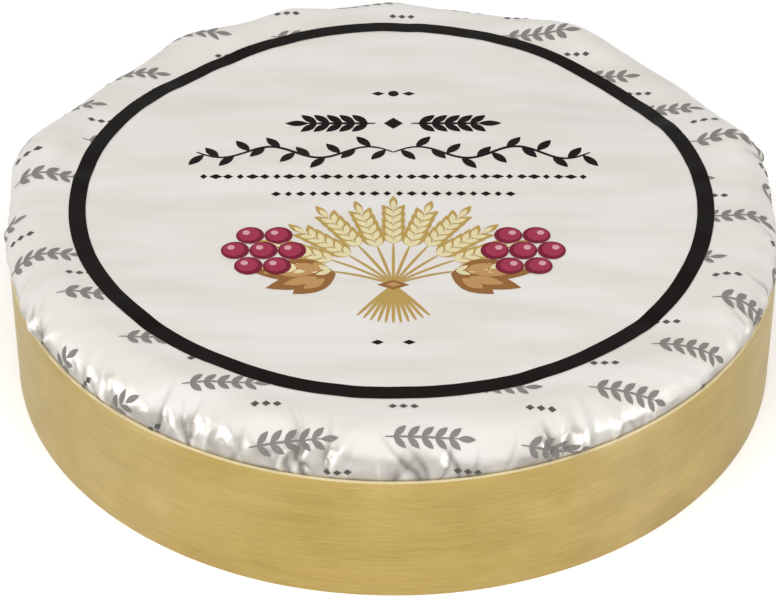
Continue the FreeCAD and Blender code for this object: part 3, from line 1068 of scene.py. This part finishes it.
def ear(angle, length, bend, scale):
    """The grains of one ear, two by two and one at its tip."""
    foot = arc_points(*TIE, angle, length, bend)[-1]
    heading = angle + bend
    line = arc_points(*foot, heading, 9.0, bend * 0.4, 6)
    shapes = []
    for x, y in line[:-1]:
        for side in (-1, 1):
            shapes.append(leaf(x, y, 3.2 * scale, 1.3 * scale, heading + side * 30))
    shapes.append(leaf(*line[-1], 3.4 * scale, 1.2 * scale, heading))
    return shapes


def sheaf_grains(scale):
    """The grains of every ear, of the middle one first."""
    side = []
    for angle, length, bend in ears():
        side += ear(angle, length, bend, scale)
    return ear(90, MIDDLE_STEM, 0, scale) + mirrored(side)


def brown_leaves(scale):
    """Broad leaves under the berries. A smaller scale gives only the paler middle of each."""
    shapes = []
    for angle, length in ((178, 13.0), (199, 11.5), (160, 9.5), (219, 8.5)):
        turn = math.radians(angle)
        gap = length * (1 - scale) / 2
        x, y = -9.0 + gap * math.cos(turn), -21.0 + gap * math.sin(turn)
        shapes.append(leaf(x, y, length * scale, 4.2 * scale, angle))
    return mirrored(shapes) + [lozenge(0.0, TIE[1], 5.0 * scale, 2.6 * scale)]


BERRIES = (-20.5, -15.0)     # the middle of the bunch on the left
BERRY_RADIUS = 2.25


def berries(scale):
    """Round berries. A smaller scale gives only the lit part or the shine of each."""
    shapes = []
    for row, count in enumerate((2, 3, 2)):
        for index in range(count):
            x = BERRIES[0] + 4.5 * (index - (count - 1) / 2)
            y = BERRIES[1] + 4.0 * (1 - row)
            move = 0.9 * (1 - scale)
            shapes.append(disc(x - move, y + move, BERRY_RADIUS * scale))
    return mirrored(shapes)


# ---------------------------------------------------------------- the stage

VIEW_ELEVATION = 37.12
VIEW_DISTANCE = 495.5
VIEW_HEIGHT = 11.2       # of the point that the camera looks at
SENSOR = 36.0
LENS = 138.76
SHIFT = (-0.0069, -0.0160)
FLOOR_SIZE = 6.0
FLOOR_DROP = 0.02        # the floor lies this far below the wheel
WORLD_LIGHT = 0.45       # strength of the sky's light, which looks plain white itself
FLOOR_GLOW = 0.26        # how much whiter the floor looks beside the wheel than its light makes it

# Soft boxes: azimuth and elevation in degrees, distance and size in metres, power in watts,
# and whether it gives sheen only. Azimuth 270 is the camera's side.
LAMPS = (
    ("lamp_front", 262.0, 57.0, 1.1, (1.2, 0.8), 7.8, False),
    ("lamp_left", 200.0, 8.0, 0.6, (0.3, 0.08), 2.0, True),
    ("lamp_right", 331.0, 8.0, 0.6, (0.25, 0.08), 2.6, True),
)


def soft_lamp(name, azimuth, elevation, distance, size, power, sheen_only):
    """A soft box that faces the wheel. One that is for sheen only shows in glossy surfaces and
    gives no other light."""
    turn, rise = math.radians(azimuth), math.radians(elevation)
    place = Vector((
        math.cos(turn) * math.cos(rise), math.sin(turn) * math.cos(rise), math.sin(rise),
    )) * distance
    lamp = bpy.data.lights.new(name, "AREA")
    lamp.shape = "RECTANGLE"
    lamp.size, lamp.size_y = size
    lamp.energy = power
    piece = bpy.data.objects.new(name, lamp)
    bpy.context.collection.objects.link(piece)
    piece.location = place
    piece.rotation_euler = (-place).to_track_quat("-Z", "Y").to_euler()
    piece.visible_diffuse = not sheen_only


def seen_directly(tree):
    """1 for rays from the camera, a mirror or glass, and 0 for the light on everything else."""
    path = add_node(tree, "ShaderNodeLightPath")
    seen = path.outputs["Is Camera Ray"]
    for other in ("Is Glossy Ray", "Is Transmission Ray"):
        seen = add_node(tree, "ShaderNodeMath", {
            0: seen, 1: path.outputs[other],
        }, operation="MAXIMUM").outputs[0]
    return seen


class CHEESE_OT_stage(bpy.types.Operator):
    """Set up the floor, the soft lamps and the camera"""
    bl_idname = "cheese.stage"
    bl_label = "Stage"

    def execute(self, context):
        scene = context.scene
        scene.view_settings.view_transform = "Standard"

        clear_selection()
        bpy.ops.mesh.primitive_plane_add(size=FLOOR_SIZE, location=(0, 0, -FLOOR_DROP * MM))
        floor = context.active_object
        floor.name = "floor"
        material, tree, surface = new_material("white_painted_board")
        place = add_node(tree, "ShaderNodeTexCoord").outputs["Object"]
        far = add_node(tree, "ShaderNodeVectorMath", {0: place}, operation="LENGTH")
        whiter = add_node(tree, "ShaderNodeMapRange", {
            "Value": far.outputs["Value"], "From Min": 0.08, "From Max": 0.7,
            "To Min": FLOOR_GLOW, "To Max": 1.0,
        })
        glow = add_node(tree, "ShaderNodeMath", {
            0: seen_directly(tree), 1: whiter.outputs["Result"],
        }, operation="MULTIPLY")
        feed(
            tree, surface, Base_Color=linear("#fbfbfb"), Roughness=0.9,
            Emission_Color=(1.0, 1.0, 1.0, 1.0), Emission_Strength=glow.outputs[0],
        )
        floor.data.materials.append(material)

        world = bpy.data.worlds.new("studio")
        scene.world = world
        world.use_nodes = True
        world.node_tree.nodes.clear()
        output = add_node(world.node_tree, "ShaderNodeOutputWorld")
        strength = add_node(world.node_tree, "ShaderNodeMapRange", {
            "Value": seen_directly(world.node_tree), "To Min": WORLD_LIGHT, "To Max": 1.0,
        })
        light = add_node(world.node_tree, "ShaderNodeBackground", {
            "Color": (1.0, 1.0, 1.0, 1.0), "Strength": strength.outputs["Result"],
        })
        world.node_tree.links.new(light.outputs[0], output.inputs["Surface"])

        for lamp in LAMPS:
            soft_lamp(*lamp)

        camera = bpy.data.cameras.new("view")
        camera.sensor_width = SENSOR
        camera.lens = LENS
        camera.shift_x, camera.shift_y = SHIFT
        camera.clip_start, camera.clip_end = 0.01, 20.0
        piece = bpy.data.objects.new("view", camera)
        context.collection.objects.link(piece)
        rise = math.radians(VIEW_ELEVATION)
        distance = VIEW_DISTANCE * MM
        piece.location = (
            0.0, -distance * math.cos(rise), VIEW_HEIGHT * MM + distance * math.sin(rise),
        )
        piece.rotation_euler = (math.pi / 2 - rise, 0.0, 0.0)
        scene.camera = piece
        return {"FINISHED"}


class CHEESE_PT_panel(bpy.types.Panel):
    """The steps that make the wheel, in order"""
    bl_idname = "CHEESE_PT_panel"
    bl_label = "Cheese Wheel"
    bl_space_type = "VIEW_3D"
    bl_region_type = "UI"
    bl_category = "Cheese"

    def draw(self, context):
        for step in STEPS:
            self.layout.operator(step.bl_idname)
        for group in ("cheese_paper", "cheese_band", "cheese_print"):
            settings = getattr(context.scene, group)
            for name in settings.__annotations__:
                self.layout.prop(settings, name)


STEPS = (
    CHEESE_OT_paper_wrapper,
    CHEESE_OT_veneer_band,
    CHEESE_OT_printed_ring,
    CHEESE_OT_border_print,
    CHEESE_OT_label_print,
    CHEESE_OT_stage,
)
GROUPS = {
    "cheese_paper": PaperSettings,
    "cheese_band": BandSettings,
    "cheese_print": PrintSettings,
}


def register():
    for group in (*GROUPS.values(), *STEPS, CHEESE_PT_panel):
        bpy.utils.register_class(group)
    for name, group in GROUPS.items():
        setattr(bpy.types.Scene, name, bpy.props.PointerProperty(type=group))


def unregister():
    for name in GROUPS:
        delattr(bpy.types.Scene, name)
    for group in reversed((*GROUPS.values(), *STEPS, CHEESE_PT_panel)):
        bpy.utils.unregister_class(group)


def main():
    register()
    bpy.ops.cheese.paper_wrapper()
    bpy.ops.cheese.veneer_band()
    bpy.ops.cheese.printed_ring()
    bpy.ops.cheese.border_print()
    bpy.ops.cheese.label_print()
    bpy.ops.cheese.stage()
    clear_selection()


if __name__ == "__main__":
    main()
